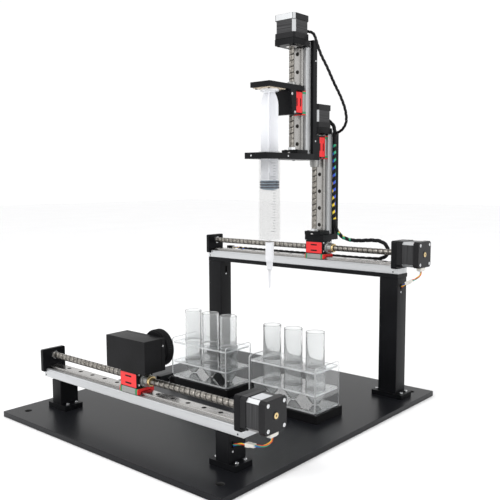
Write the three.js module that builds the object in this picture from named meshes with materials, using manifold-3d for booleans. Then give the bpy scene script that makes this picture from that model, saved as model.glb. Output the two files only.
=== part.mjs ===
// Bench gantry dosing robot: two long ball-screw stages on posts over a base plate, a vertical stage and a
// syringe stage carried by the upper one, a camera carried by the lower one, and two racks of tubes.
// Millimetres, +Z up. Origin: centre of the base plate's underside. X runs along the two long stages.
import * as THREE from 'three';
import { mergeVertices } from 'three/addons/utils/BufferGeometryUtils.js';
import Module from 'manifold-3d';

const wasm = await Module();
wasm.setup();

// ---- driving dimensions ----
const GAP = 0.3;                                        // clearance where two bolted pieces meet

const BASE = { width: 472, depth: 536, thickness: 8, holeInset: 28, holeRadius: 5 };
const BASE_TOP = BASE.thickness;

// One stage family. Stage frame: x along the travel from the end plate, y across, z from the profile's back.
const STAGE = {
  width: 30, height: 13.4, floor: 9,                    // profile, and its floor under the end plates
  railWidth: 18, railHeight: 7, railFoot: 11.1, holePitch: 30, holeRadius: 3.2, holeDepth: 4,
  endPlate: 6, motorPlate: 10, motorPlateWidth: 42,
  axis: 34, journal: 4, bore: 4.5, collar: 7,
  motor: 42.3, motorLength: 40, motorChamfer: 4,
  socketWidth: 16, socketHeight: 6.3, socketFrom: 29, socketTo: 37,
  block: 40, blockWidth: 31, blockFoot: 14, blockTop: 23.1,
  carriage: 36.6, carriageTop: 47, nutFlange: 10.4, nutRadius: 8.4, nutLength: 16,
};
const LONG = { length: 429, endWidth: 42, endTop: 45, screw: 5 };
const SHORT = { length: 187, endWidth: 34, endTop: 41, screw: 4.5 };

const GANTRY = { x: -222, y: 203.2, z: 216.4, carriageX: 39 };
const FRONT = { x: -215.4, y: -189.1, z: 54.9, carriageX: -3.4 };
const TOWER = { backY: 222.6, z: 274, carriageZ: 427.6 };        // vertical stage on the gantry carriage
const DOSER = { backY: 155.6, z: 415, carriageZ: 499.5 };        // syringe stage on the tower's carriage

const FRONT_POST = { width: 23, depth: 32.6, footWidth: 46, footDepth: 34, foot: 8, xs: [-181, 179] };
const REAR_POST = { width: 33.5, depth: 30.6, footWidth: 57.6, footDepth: 34, foot: 8, xs: [-205.2, 190.2] };
const BEAM_THICKNESS = 6.7;
const TRAY = { wall: 2, back: 234, top: 229, inset: 2 };         // cable shelf along the rear of the beam

const TOOL_WIDTH = 40;                                  // tower bracket, tool plate and clamp plate
const TOWER_BRACKET = { plate: 10, back: 11.7, rearY: 234.6, top: 455 };
const TOOL_PLATE = { thickness: 11, top: 605, bottom: 404.7, spacerTop: 447 };
const ARM = { width: 46, frontY: 26.7, thickness: 10, bore: 18.4 };
const SYRINGE = { y: 62.7, radius: 18, wall: 1.8, foot: 272.2, top: 417.5, tipTop: 266, tipEnd: 193 };
const STOPPER = { radius: 15.9, foot: 355, top: 370 };
const PLUNGER = { vane: 2.4, halfWidth: 14.6, shoulder: 9, cap: 15.5, capThickness: 4.5 };
const CLAMP = { frontY: 38.2, rearY: 131, thickness: 8.5, legThickness: 6, legFoot: 478, holeRadius: 11 };

const CAMERA = { x: -5, width: 84, depth: 38, foot: 102.2, top: 149, frontY: -208 };
const LENS = { x: 14, z: 130, radius: 27, length: 13.5, hood: 20 };

const RACK = { width: 132, depth: 63, wall: 3, top: 92, shelves: [51, 85.5], pitch: 42.3, holeRadius: 15.6 };
const RACKS = [{ name: 'left', x: -78, y: 42 }, { name: 'right', x: 110, y: 34 }];
const RACK_BASE = { width: 140, depth: 70, height: 13.3 };
const TUBE = { radius: 14.8, wall: 1.4, length: 115, cone: 15, point: 4 };

// ---- cable routes, chosen by hand ----
const CARRIAGE_CABLE = {
  radius: 3.5, steps: 60, sides: 8,
  route: [
    [-176, 228.5, 233.4], [0, 228.5, 233.4], [130, 228.5, 233.5], [151, 228.5, 235.2], [162, 228.5, 241],
    [165.5, 228.5, 250], [161.5, 228.5, 259], [151, 228.5, 264.8], [134, 228.5, 266], [108, 228.5, 264],
    [90, 227, 264.5], [76, 222, 270], [67.5, 217, 283], [64, 214.5, 305], [63.6, 214, 360], [63.6, 214, 420],
    [63.2, 214.8, 440], [62.6, 216.5, 455], [58.3, 217.8, 466.5], [50, 217.6, 474], [42.5, 215.6, 479],
    [39.3, 214.2, 484.5], [39, 214, 489.6],
  ],
};
const TOOL_CABLE = {
  radius: 2.6, steps: 40, sides: 8,
  route: [
    [39, 146.3, 630.7], [39.2, 146.5, 628], [41.3, 147.6, 623.8], [47, 149.8, 620.3], [55, 150.8, 618],
    [63, 149, 614], [70, 145.5, 605.5], [76, 143.2, 593], [81.5, 145.5, 577], [88, 154, 557], [94, 167, 531],
    [101, 177, 508], [104, 186, 487], [100.5, 194, 469], [88, 201, 457], [72.5, 206, 451.5],
  ],
};

// ---- materials ----
const look = (color, roughness, metalness) =>
  new THREE.MeshStandardMaterial({ color, roughness, metalness });
const BLACK = look(0x26282b, 0.45, 0.5);
const SILVER = look(0xc9cbcc, 0.35, 0.9);
const STEEL = look(0xb9bab8, 0.25, 1);
const MOTOR = look(0x303235, 0.5, 0.4);
const PLASTIC = look(0x1c1d1f, 0.55, 0);
const CLEAR = look(0xe9edf0, 0.08, 0);
const FROSTED = look(0xe6e8ea, 0.35, 0);
const RUBBER = look(0x39424d, 0.8, 0);
const WHITE = look(0xf0f0ee, 0.4, 0);
const SLEEVE = look(0x1b1c1f, 0.75, 0);

// ---- solids ----
function solidOf(geometry) {
  const bare = geometry.clone();
  bare.deleteAttribute('normal');
  bare.deleteAttribute('uv');
  const merged = mergeVertices(bare, 1e-4);
  const vertProperties = new Float32Array(merged.attributes.position.array);
  const triVerts = new Uint32Array(merged.index.array);
  return new wasm.Manifold(new wasm.Mesh({ numProp: 3, vertProperties, triVerts }));
}

function geometryOf(solid) {
  const { vertProperties, triVerts } = solid.getMesh();
  const geometry = new THREE.BufferGeometry();
  geometry.setAttribute('position', new THREE.BufferAttribute(vertProperties, 3));
  geometry.setIndex(new THREE.BufferAttribute(triVerts, 1));
  return geometry;
}

function box([x0, x1], [y0, y1], [z0, z1]) {
  const geometry = new THREE.BoxGeometry(x1 - x0, y1 - y0, z1 - z0);
  geometry.translate((x0 + x1) / 2, (y0 + y1) / 2, (z0 + z1) / 2);
  return solidOf(geometry);
}

// A rod between two places on its axis ('x', 'y' or 'z'), at the two other coordinates in x, y, z order.
function rod(axis, radius, [from, to], [u, v], sides = 16) {
  const geometry = new THREE.CylinderGeometry(radius, radius, to - from, sides);
  const middle = (from + to) / 2;
  if (axis === 'x') geometry.rotateZ(Math.PI / 2).translate(middle, u, v);
  if (axis === 'y') geometry.translate(u, middle, v);
  if (axis === 'z') geometry.rotateX(Math.PI / 2).translate(u, v, middle);
  return solidOf(geometry);
}

// A body of revolution about +Z, from [radius, height] points up the outside and back down the inside.
function turned(points, sides = 20) {
  const geometry = new THREE.LatheGeometry(points.map(([r, z]) => new THREE.Vector2(r, z)), sides);
  geometry.rotateX(Math.PI / 2);
  return solidOf(geometry);
}

function prism(outline, length) {
  const shape = new THREE.Shape(outline.map(([x, y]) => new THREE.Vector2(x, y)));
  return solidOf(new THREE.ExtrudeGeometry(shape, { depth: length, bevelEnabled: false }));
}

const around = (middle, size) => [middle - size / 2, middle + size / 2];

function piece(name, solid, material) {
  const mesh = new THREE.Mesh(geometryOf(solid), material);
  mesh.name = name;
  return mesh;
}

const robot = new THREE.Group();

// ---- base plate, posts and beam ----
function basePlate() {
  let plate = box(around(0, BASE.width), around(0, BASE.depth), [0, BASE_TOP]);
  for (const sx of [-1, 1]) {
    for (const sy of [-1, 1]) {
      const centre = [sx * (BASE.width / 2 - BASE.holeInset), sy * (BASE.depth / 2 - BASE.holeInset)];
      plate = plate.subtract(rod('z', BASE.holeRadius, [-1, BASE_TOP + 1], centre));
    }
  }
  return plate;
}

function post(size, x, y, top) {
  const column = box(around(x, size.width), around(y, size.depth), [BASE_TOP, top]);
  const foot = box(around(x, size.footWidth), around(y, size.footDepth), [BASE_TOP, BASE_TOP + size.foot]);
  return column.add(foot);
}

robot.add(piece('base_plate', basePlate(), BLACK));
for (const [i, side] of ['left', 'right'].entries()) {
  const frontTop = FRONT.z - GAP;
  const rearTop = GANTRY.z - 2 * GAP - BEAM_THICKNESS;
  robot.add(piece(`front_post_${side}`, post(FRONT_POST, FRONT_POST.xs[i], FRONT.y, frontTop), BLACK));
  robot.add(piece(`rear_post_${side}`, post(REAR_POST, REAR_POST.xs[i], GANTRY.y, rearTop), BLACK));
}
const beamTop = GANTRY.z - GAP;
const beamX = [GANTRY.x, GANTRY.x + LONG.length];
const beamFoot = beamTop - BEAM_THICKNESS;
const profileBack = GANTRY.y + STAGE.width / 2;
const trayX = [beamX[0] + STAGE.endPlate + TRAY.inset, beamX[1] - STAGE.motorPlate - TRAY.inset];
const trayWall = [profileBack + GAP, profileBack + GAP + TRAY.wall];
const beam = box(beamX, [GANTRY.y - STAGE.width / 2, trayWall[1]], [beamFoot, beamTop])
  .add(box(trayX, trayWall, [beamFoot, TRAY.top]))
  .add(box(trayX, [trayWall[0], TRAY.back], [TRAY.top - TRAY.wall, TRAY.top]));
robot.add(piece('gantry_beam', beam, BLACK));

// ---- one ball-screw stage, in the stage frame ----
function profile(size) {
  const inner = [size.length - STAGE.motorPlate - GAP, size.length + 1];
  const across = [-STAGE.width, STAGE.width];
  const aboveFloor = [STAGE.floor - GAP, STAGE.height + 1];
  const grooveWidth = STAGE.railWidth + 2 * GAP;
  return box([0, size.length], around(0, STAGE.width), [0, STAGE.height])
    .subtract(box([-1, STAGE.endPlate + GAP], across, aboveFloor))
    .subtract(box(inner, across, aboveFloor))
    .subtract(box([-1, size.length + 1], around(0, grooveWidth), [STAGE.railFoot - GAP, STAGE.height + 1]));
}

function rail(size) {
  const from = STAGE.endPlate + 2 * GAP;
  const to = size.length - STAGE.motorPlate - 2 * GAP;
  const top = STAGE.railFoot + STAGE.railHeight;
  let bar = box([from, to], around(0, STAGE.railWidth), [STAGE.railFoot, top]);
  const holes = Math.floor((to - from - STAGE.holePitch / 2) / STAGE.holePitch) + 1;
  const first = (from + to - (holes - 1) * STAGE.holePitch) / 2;
  for (let i = 0; i < holes; i += 1) {
    const depth = [top - STAGE.holeDepth, top + 1];
    bar = bar.subtract(rod('z', STAGE.holeRadius, depth, [first + i * STAGE.holePitch, 0], 8));
  }
  return bar;
}

function plate(from, to, width, top) {
  return box([from, to], around(0, width), [STAGE.floor, top])
    .subtract(rod('x', STAGE.bore, [from - 1, to + 1], [0, STAGE.axis]));
}

function motor(size) {
  const half = STAGE.motor / 2;
  const cut = half - STAGE.motorChamfer;
  const outline = [
    [cut, -half], [half, -cut], [half, cut], [cut, half],
    [-cut, half], [-half, cut], [-half, -cut], [-cut, -half],
  ];
  const socketX = [STAGE.socketFrom, STAGE.socketTo];
  const socket = box(socketX, around(0, STAGE.socketWidth), [-half - STAGE.socketHeight, 1 - half]);
  const body = prism(outline, STAGE.motorLength).rotate([90, 0, 90]);
  return body.add(socket).translate([size.length + GAP, 0, STAGE.axis]);
}

function screw(size) {
  const { journal, collar } = STAGE;
  const collarFrom = STAGE.endPlate + 2 * GAP;
  const threadFrom = collarFrom + 4;
  const threadTo = size.length - STAGE.motorPlate - 2 * GAP;
  const shaft = turned([
    [0, GAP], [journal, GAP], [journal, collarFrom], [collar, collarFrom], [collar, threadFrom],
    [size.screw, threadFrom], [size.screw, threadTo], [journal, threadTo], [journal, size.length - GAP],
    [0, size.length - GAP],
  ], 16);
  return shaft.rotate([0, 90, 0]).translate([0, 0, STAGE.axis]);
}

function block(centre) {
  const slot = around(0, STAGE.railWidth + 2 * GAP);
  const railTop = STAGE.railFoot + STAGE.railHeight;
  return box(around(centre, STAGE.block), around(0, STAGE.blockWidth), [STAGE.blockFoot, STAGE.blockTop])
    .subtract(box(around(centre, STAGE.block + 2), slot, [0, railTop + GAP]));
}

// The carriage with the ball nut bolted to the side nutSide names: 1 towards the motor, -1 away from it.
function carriage(size, centre, nutSide) {
  const height = [STAGE.blockTop + GAP, STAGE.carriageTop];
  const body = box(around(centre, STAGE.carriage), around(0, STAGE.width), height);
  const face = centre + (nutSide * STAGE.carriage) / 2;
  const axis = [0, STAGE.axis];
  const span = (length) => [face - nutSide, face + nutSide * length].sort((a, b) => a - b);
  return body
    .add(rod('x', STAGE.nutFlange, span(4), axis))
    .add(rod('x', STAGE.nutRadius, span(STAGE.nutLength), axis))
    .subtract(rod('x', size.screw + 2 * GAP, around(centre, 3 * STAGE.block), axis));
}

function stage(prefix, size, centre, nutSide) {
  const group = new THREE.Group();
  const motorFace = size.length - STAGE.motorPlate;
  const motorPlateTop = STAGE.axis + STAGE.motorPlateWidth / 2;
  group.add(piece(`${prefix}_profile`, profile(size), SILVER));
  group.add(piece(`${prefix}_rail`, rail(size), STEEL));
  group.add(piece(`${prefix}_end_plate`, plate(0, STAGE.endPlate, size.endWidth, size.endTop), BLACK));
  const motorPlate = plate(motorFace, size.length, STAGE.motorPlateWidth, motorPlateTop);
  group.add(piece(`${prefix}_motor_plate`, motorPlate, BLACK));
  group.add(piece(`${prefix}_motor`, motor(size), MOTOR));
  group.add(piece(`${prefix}_screw`, screw(size), STEEL));
  group.add(piece(`${prefix}_block`, block(centre), STEEL));
  group.add(piece(`${prefix}_carriage`, carriage(size, centre, nutSide), BLACK));
  return group;
}

function level(group, at) {
  group.position.set(at.x, at.y, at.z);
  return group;
}

// Stands a stage up: its travel runs up +Z and its rail faces -Y.
function upright(group, at) {
  const turn = new THREE.Matrix4().makeBasis(
    new THREE.Vector3(0, 0, 1), new THREE.Vector3(-1, 0, 0), new THREE.Vector3(0, -1, 0));
  group.quaternion.setFromRotationMatrix(turn);
  group.position.set(GANTRY.carriageX, at.backY, at.z);
  return group;
}

robot.add(level(stage('gantry', LONG, GANTRY.carriageX - GANTRY.x, 1), GANTRY));
robot.add(level(stage('front', LONG, FRONT.carriageX - FRONT.x, 1), FRONT));
robot.add(upright(stage('tower', SHORT, TOWER.carriageZ - TOWER.z, -1), TOWER));
robot.add(upright(stage('doser', SHORT, DOSER.carriageZ - DOSER.z, 1), DOSER));

// ---- brackets of the tower and of the tool ----
const toolX = around(GANTRY.carriageX, TOOL_WIDTH);
const gantryCarriageTop = GANTRY.z + STAGE.carriageTop;

function towerBracket() {
  const foot = gantryCarriageTop + GAP;
  const frontY = GANTRY.y - STAGE.width / 2;
  const backFrontY = TOWER_BRACKET.rearY - TOWER_BRACKET.back;
  return box(toolX, [frontY, TOWER_BRACKET.rearY], [foot, foot + TOWER_BRACKET.plate])
    .add(box(toolX, [backFrontY, TOWER_BRACKET.rearY], [foot, TOWER_BRACKET.top]));
}

function toolPlate() {
  const frontY = DOSER.backY + GAP;
  const backY = frontY + TOOL_PLATE.thickness;
  const towerCarriageY = TOWER.backY - STAGE.carriageTop - GAP;
  return box(toolX, [frontY, backY], [TOOL_PLATE.bottom, TOOL_PLATE.top])
    .add(box(toolX, [backY - 1, towerCarriageY], [TOOL_PLATE.bottom, TOOL_PLATE.spacerTop]));
}

function syringeArm() {
  const top = DOSER.z - GAP;
  return box(around(GANTRY.carriageX, ARM.width), [ARM.frontY, DOSER.backY], [top - ARM.thickness, top])
    .subtract(rod('z', ARM.bore, [top - ARM.thickness - 1, top + 1], [GANTRY.carriageX, SYRINGE.y], 28));
}

const clampFoot = DOSER.carriageZ + STAGE.carriage / 2;

function plungerBracket() {
  const foot = clampFoot + GAP;
  const carriageFrontY = DOSER.backY - STAGE.carriageTop - GAP;
  const screwY = DOSER.backY - STAGE.axis;
  const legY = [carriageFrontY - CLAMP.legThickness, carriageFrontY];
  return box(toolX, [CLAMP.frontY, CLAMP.rearY], [foot, foot + CLAMP.thickness])
    .add(box(toolX, legY, [CLAMP.legFoot, foot + 1]))
    .subtract(rod('z', CLAMP.holeRadius, [foot - 2, foot + CLAMP.thickness + 1], [GANTRY.carriageX, screwY]));
}

robot.add(piece('tower_bracket', towerBracket(), BLACK));
robot.add(piece('tool_plate', toolPlate(), BLACK));
robot.add(piece('syringe_arm', syringeArm(), BLACK));
robot.add(piece('plunger_bracket', plungerBracket(), BLACK));

// ---- syringe ----
function syringeBarrel() {
  const { radius, wall, foot, top, tipTop } = SYRINGE;
  const inner = radius - wall;
  return turned([
    [2.2, tipTop - 12], [4.6, tipTop - 12], [5, foot - 2], [radius - 2, foot - 1], [radius, foot + 2],
    [radius, top], [inner, top], [inner, foot + 3], [2.2, foot + 1], [2.2, tipTop - 12],
  ], 28);
}

function syringeTip() {
  const { foot, tipTop, tipEnd } = SYRINGE;
  const socket = foot - 3.3;
  return turned([
    [0.8, tipEnd], [1.5, tipEnd], [2.2, 222], [5.2, 224], [5.6, 236], [6.8, 238], [7, socket],
    [5.4, socket], [5.2, tipTop - 13], [0.8, tipTop - 13], [0.8, tipEnd],
  ], 16);
}

function plungerRod() {
  const { vane, halfWidth, shoulder, cap, capThickness } = PLUNGER;
  const top = clampFoot - GAP;
  const foot = STOPPER.top + GAP;
  const neck = top - capThickness - 22;
  const blade = [
    [-halfWidth, 0], [halfWidth, 0], [halfWidth, neck - foot], [halfWidth - 1.5, neck + 10 - foot],
    [shoulder, top - 1 - foot], [-shoulder, top - 1 - foot], [1.5 - halfWidth, neck + 10 - foot],
    [-halfWidth, neck - foot],
  ];
  const upright = prism(blade, vane).translate([0, 0, -vane / 2]).rotate([90, 0, 0]);
  return upright.add(upright.rotate([0, 0, 90])).translate([0, 0, foot])
    .add(rod('z', cap, [top - capThickness, top], [0, 0]));
}

function stopper() {
  const { radius, foot, top } = STOPPER;
  return turned([[0, foot - 1], [radius - 3, foot], [radius, foot + 3], [radius, top], [0, top]], 28);
}

const syringe = new THREE.Group();
syringe.position.set(GANTRY.carriageX, SYRINGE.y, 0);
syringe.add(piece('syringe_barrel', syringeBarrel(), FROSTED));
syringe.add(piece('syringe_tip', syringeTip(), WHITE));
syringe.add(piece('plunger_rod', plungerRod(), FROSTED));
syringe.add(piece('plunger_stopper', stopper(), RUBBER));
robot.add(syringe);

// ---- camera ----
const cameraY = [CAMERA.frontY, CAMERA.frontY + CAMERA.depth];
const cameraBox = box(around(CAMERA.x, CAMERA.width), cameraY, [CAMERA.foot, CAMERA.top]);
robot.add(piece('camera_body', cameraBox, PLASTIC));

function cameraLens() {
  const from = cameraY[1] + GAP;
  const centre = [LENS.x, LENS.z];
  return rod('y', LENS.radius, [from, from + LENS.length], centre, 28)
    .subtract(rod('y', LENS.hood, [from + LENS.length - 6, from + LENS.length + 1], centre, 28));
}
robot.add(piece('camera_lens', cameraLens(), PLASTIC));

// ---- racks and tubes ----
function rack() {
  const outerX = around(0, RACK.width);
  const depth = around(0, RACK.depth);
  const foot = BASE_TOP + RACK_BASE.height + GAP;
  let solid = box(outerX, depth, [foot, foot + RACK.wall]);
  for (const side of [0, 1]) {
    const from = side ? outerX[1] - RACK.wall : outerX[0];
    solid = solid.add(box([from, from + RACK.wall], depth, [foot, RACK.top]));
  }
  for (const height of RACK.shelves) {
    solid = solid.add(box(outerX, depth, [height - RACK.wall, height]));
    for (const column of [-1, 0, 1]) {
      const through = [height - RACK.wall - 1, height + 1];
      solid = solid.subtract(rod('z', RACK.holeRadius, through, [column * RACK.pitch, 0], 20));
    }
  }
  return solid;
}

function tube() {
  const { radius, wall, length, cone, point } = TUBE;
  const inner = radius - wall;
  return turned([
    [0, 0], [point, 0], [radius, cone], [radius, length],
    [inner, length], [inner, cone + 1], [point - 1, wall], [0, wall],
  ]);
}

for (const { name, x, y } of RACKS) {
  const group = new THREE.Group();
  group.position.set(x, y, 0);
  const baseHeight = [BASE_TOP + GAP, BASE_TOP + RACK_BASE.height];
  const baseBlock = box(around(0, RACK_BASE.width), around(0, RACK_BASE.depth), baseHeight);
  group.add(piece(`rack_base_${name}`, baseBlock, PLASTIC));
  group.add(piece(`rack_${name}`, rack(), CLEAR));
  const tubeFoot = BASE_TOP + RACK_BASE.height + RACK.wall + 2 * GAP;
  for (const column of [0, 1, 2]) {
    const mesh = piece(`tube_${name}_${column + 1}`, tube(), FROSTED);
    mesh.position.set((column - 1) * RACK.pitch, 0, tubeFoot);
    group.add(mesh);
  }
  robot.add(group);
}

// ---- cables ----
function cable({ radius, steps, sides, route }) {
  const section = new THREE.Shape(Array.from({ length: sides }, (_, i) => {
    const angle = (2 * Math.PI * i) / sides;
    return new THREE.Vector2(radius * Math.cos(angle), radius * Math.sin(angle));
  }));
  const extrudePath = new THREE.CatmullRomCurve3(route.map((point) => new THREE.Vector3(...point)));
  return solidOf(new THREE.ExtrudeGeometry(section, { steps, extrudePath, bevelEnabled: false }));
}
robot.add(piece('carriage_cable', cable(CARRIAGE_CABLE), SLEEVE));
robot.add(piece('tool_cable', cable(TOOL_CABLE), SLEEVE));

export default robot;
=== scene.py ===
import math

import bmesh
import bpy
from mathutils import Matrix, Vector


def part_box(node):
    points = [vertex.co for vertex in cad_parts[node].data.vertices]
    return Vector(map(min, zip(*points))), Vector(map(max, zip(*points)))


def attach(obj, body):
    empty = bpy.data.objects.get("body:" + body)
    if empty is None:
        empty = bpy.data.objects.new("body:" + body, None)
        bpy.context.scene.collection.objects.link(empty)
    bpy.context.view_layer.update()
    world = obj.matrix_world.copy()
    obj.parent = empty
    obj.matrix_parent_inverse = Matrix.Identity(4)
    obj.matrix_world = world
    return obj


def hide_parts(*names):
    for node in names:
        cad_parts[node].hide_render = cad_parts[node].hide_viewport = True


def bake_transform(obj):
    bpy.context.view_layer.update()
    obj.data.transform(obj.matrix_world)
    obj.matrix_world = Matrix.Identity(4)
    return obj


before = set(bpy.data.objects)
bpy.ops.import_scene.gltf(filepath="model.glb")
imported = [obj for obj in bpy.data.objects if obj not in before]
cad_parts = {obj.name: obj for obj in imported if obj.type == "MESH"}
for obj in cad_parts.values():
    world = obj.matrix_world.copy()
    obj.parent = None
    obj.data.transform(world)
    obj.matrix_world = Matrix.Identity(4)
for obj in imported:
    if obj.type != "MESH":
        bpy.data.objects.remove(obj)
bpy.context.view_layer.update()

# Lengths below are millimetres in a piece's own frame, and MM turns them into metres.
MM = 0.001
ROOM = 0.3                       # gap between bolted pieces, as in the CAD
MERGE = 1e-4                     # points nearer than this become one


# ---------------------------------------------------------------- camera
CAMERA_AT = (759.8, -826.1, 370.6)
CAMERA_YAW, CAMERA_PITCH, CAMERA_ROLL = 40.66, 5.72, -0.19
CAMERA_LENS = 50.18


def make_camera():
    yaw, pitch = math.radians(CAMERA_YAW), math.radians(CAMERA_PITCH)
    level = math.cos(pitch)
    looks = Vector((-math.sin(yaw) * level, math.cos(yaw) * level, -math.sin(pitch)))
    camera = bpy.data.objects.new("camera", bpy.data.cameras.new("camera"))
    camera.data.sensor_width = 36
    camera.data.lens = CAMERA_LENS
    camera.data.clip_start, camera.data.clip_end = 0.02, 50
    turn = looks.to_track_quat("-Z", "Y").to_matrix().to_4x4()
    roll = Matrix.Rotation(math.radians(CAMERA_ROLL), 4, "Z")
    camera.matrix_world = Matrix.Translation(Vector(CAMERA_AT) * MM) @ turn @ roll
    bpy.context.collection.objects.link(camera)
    bpy.context.scene.camera = camera


make_camera()


# ---------------------------------------------------------------- materials
NOISE_SPAN = (0.3, 0.7)          # the values that a noise pattern mostly stays between


def new_material(name):
    material = bpy.data.materials.new(name)
    material.use_nodes = True
    tree = material.node_tree
    return material, tree, tree.nodes["Principled BSDF"]


def noise(tree, scale, stretch=(1, 1, 1), detail=4.0):
    """A noise pattern in the piece's own space, in metres, stretched by a factor on each axis."""
    coordinates = tree.nodes.new("ShaderNodeTexCoord")
    mapping = tree.nodes.new("ShaderNodeMapping")
    mapping.inputs["Scale"].default_value = stretch
    pattern = tree.nodes.new("ShaderNodeTexNoise")
    pattern.inputs["Scale"].default_value = scale
    pattern.inputs["Detail"].default_value = detail
    tree.links.new(coordinates.outputs["Object"], mapping.inputs["Vector"])
    tree.links.new(mapping.outputs["Vector"], pattern.inputs["Vector"])
    return pattern.outputs["Fac"]


def colours(tree, factor, dark, light):
    ramp = tree.nodes.new("ShaderNodeValToRGB")
    for element, position, colour in zip(ramp.color_ramp.elements, NOISE_SPAN, (dark, light)):
        element.position = position
        element.color = (*colour, 1)
    tree.links.new(factor, ramp.inputs["Fac"])
    return ramp.outputs["Color"]


def spread_over(tree, factor, low, high):
    spread = tree.nodes.new("ShaderNodeMapRange")
    spread.inputs["From Min"].default_value = NOISE_SPAN[0]
    spread.inputs["From Max"].default_value = NOISE_SPAN[1]
    spread.inputs["To Min"].default_value = low
    spread.inputs["To Max"].default_value = high
    tree.links.new(factor, spread.inputs["Value"])
    return spread.outputs["Result"]


def grain(tree, shader, factor, strength, depth):
    bump = tree.nodes.new("ShaderNodeBump")
    bump.inputs["Strength"].default_value = strength
    bump.inputs["Distance"].default_value = depth
    tree.links.new(factor, bump.inputs["Height"])
    tree.links.new(bump.outputs["Normal"], shader.inputs["Normal"])


def finish_of(name, dark, light, rough, metal=0.0, cloud=30, fine=1500, stretch=(1, 1, 1), bump=0.12,
              depth=0.00005, fixed=None):
    """A procedural finish: cloudy colour, roughness that follows a fine grain, and that grain as bump."""
    material, tree, shader = new_material(name)
    shader.inputs["Metallic"].default_value = metal
    for socket, value in (fixed or {}).items():
        shader.inputs[socket].default_value = value
    clouds = noise(tree, cloud, stretch)
    fines = noise(tree, fine, stretch, detail=3)
    tree.links.new(colours(tree, clouds, dark, light), shader.inputs["Base Color"])
    tree.links.new(spread_over(tree, fines, *rough), shader.inputs["Roughness"])
    grain(tree, shader, fines, bump, depth)
    return material


ALONG_X = (0.02, 1, 1)           # brushed along the piece's own X

SATIN = {"Specular IOR Level": 0.13}
BLACK = finish_of("black_anodised", (0.003, 0.0032, 0.004), (0.0055, 0.0058, 0.007), (0.32, 0.46),
                  bump=0.08, fixed=SATIN)
PLATE = finish_of("black_anodised_plate", (0.0055, 0.0058, 0.0072), (0.0085, 0.009, 0.011), (0.26, 0.38),
                  cloud=9, bump=0.06, fixed={"Specular IOR Level": 0.16})
SILVER = finish_of("silver_anodised", (0.5, 0.51, 0.52), (0.6, 0.61, 0.62), (0.3, 0.46), metal=0.75,
                   cloud=60, fine=2500, stretch=ALONG_X)
STEEL = finish_of("ground_steel", (0.4, 0.39, 0.375), (0.52, 0.51, 0.5), (0.18, 0.3), metal=1.0,
                  cloud=80, fine=3000, stretch=ALONG_X)
THREAD = finish_of("rolled_steel", (0.13, 0.12, 0.105), (0.38, 0.36, 0.33), (0.22, 0.38), metal=1.0,
                   cloud=260)
# Painted shade: darker steel for the ball screw's helical groove and for the rail screw heads sunk in their
# bores.
STEEL_SHADE = finish_of("painted_steel_shade", (0.035, 0.032, 0.03), (0.1, 0.095, 0.085), (0.35, 0.5), metal=1.0,
                   cloud=300)
BLOCK_STEEL = finish_of("block_steel", (0.27, 0.27, 0.26), (0.36, 0.36, 0.35), (0.3, 0.42), metal=0.85)
ZINC = finish_of("zinc_screw", (0.55, 0.56, 0.57), (0.72, 0.73, 0.74), (0.18, 0.3), metal=1.0, cloud=400)
BRASS = finish_of("brass", (0.62, 0.45, 0.2), (0.78, 0.62, 0.34), (0.2, 0.34), metal=1.0, cloud=400)
MOTOR_BELL = finish_of("motor_bell", (0.005, 0.005, 0.006), (0.01, 0.01, 0.011), (0.3, 0.42), bump=0.2,
                       fine=900, fixed={"Specular IOR Level": 0.2})
PLASTIC = finish_of("black_plastic", (0.0045, 0.0045, 0.005), (0.008, 0.008, 0.009), (0.36, 0.5), bump=0.25,
                    fine=2200, fixed={"Specular IOR Level": 0.11})
GREEN = finish_of("green_plastic", (0.0, 0.19, 0.06), (0.01, 0.27, 0.1), (0.36, 0.48))
RED = finish_of("red_plastic", (0.62, 0.006, 0.008), (0.78, 0.014, 0.014), (0.34, 0.46))
RED_LABEL = finish_of("red_label", (0.72, 0.008, 0.01), (0.84, 0.014, 0.016), (0.3, 0.4), bump=0.04)
WHITE_LABEL = finish_of("white_label", (0.5, 0.51, 0.53), (0.62, 0.63, 0.65), (0.32, 0.42), bump=0.04)
CREAM = finish_of("cream_plastic", (0.62, 0.6, 0.55), (0.76, 0.74, 0.69), (0.36, 0.48))
TAN = finish_of("tan_plate", (0.6, 0.5, 0.38), (0.72, 0.63, 0.5), (0.4, 0.55))
RUBBER = finish_of("blue_grey_rubber", (0.012, 0.022, 0.04), (0.02, 0.035, 0.06), (0.4, 0.55))
PALE_RUBBER = finish_of("pale_rubber", (0.22, 0.32, 0.42), (0.3, 0.41, 0.5), (0.4, 0.55))
# Painted shade: near-black colour for the walls of holes, bores, counterbores and slots, and for the screw
# heads under the keeper, where shade falls.
PAINTED_SHADE = finish_of("painted_shade", (0.004, 0.004, 0.004), (0.007, 0.007, 0.007), (0.6, 0.8))
SLEEVE = finish_of("cable_sleeve", (0.004, 0.004, 0.005), (0.009, 0.009, 0.01), (0.4, 0.55), fine=1200,
                   bump=0.3, fixed=SATIN)
WIRES = [
    finish_of("wire_yellow", (0.72, 0.5, 0.01), (0.85, 0.62, 0.03), (0.3, 0.42)),
    finish_of("wire_blue", (0.01, 0.05, 0.5), (0.02, 0.09, 0.65), (0.3, 0.42)),
    finish_of("wire_green", (0.0, 0.28, 0.14), (0.02, 0.38, 0.2), (0.3, 0.42)),
    finish_of("wire_red", (0.6, 0.02, 0.01), (0.75, 0.05, 0.02), (0.3, 0.42)),
]
ACRYLIC = finish_of("clear_acrylic", (0.95, 0.97, 0.975), (0.98, 0.99, 0.995), (0.015, 0.05), bump=0.02,
                    fixed={"Transmission Weight": 1.0, "IOR": 1.49})
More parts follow.
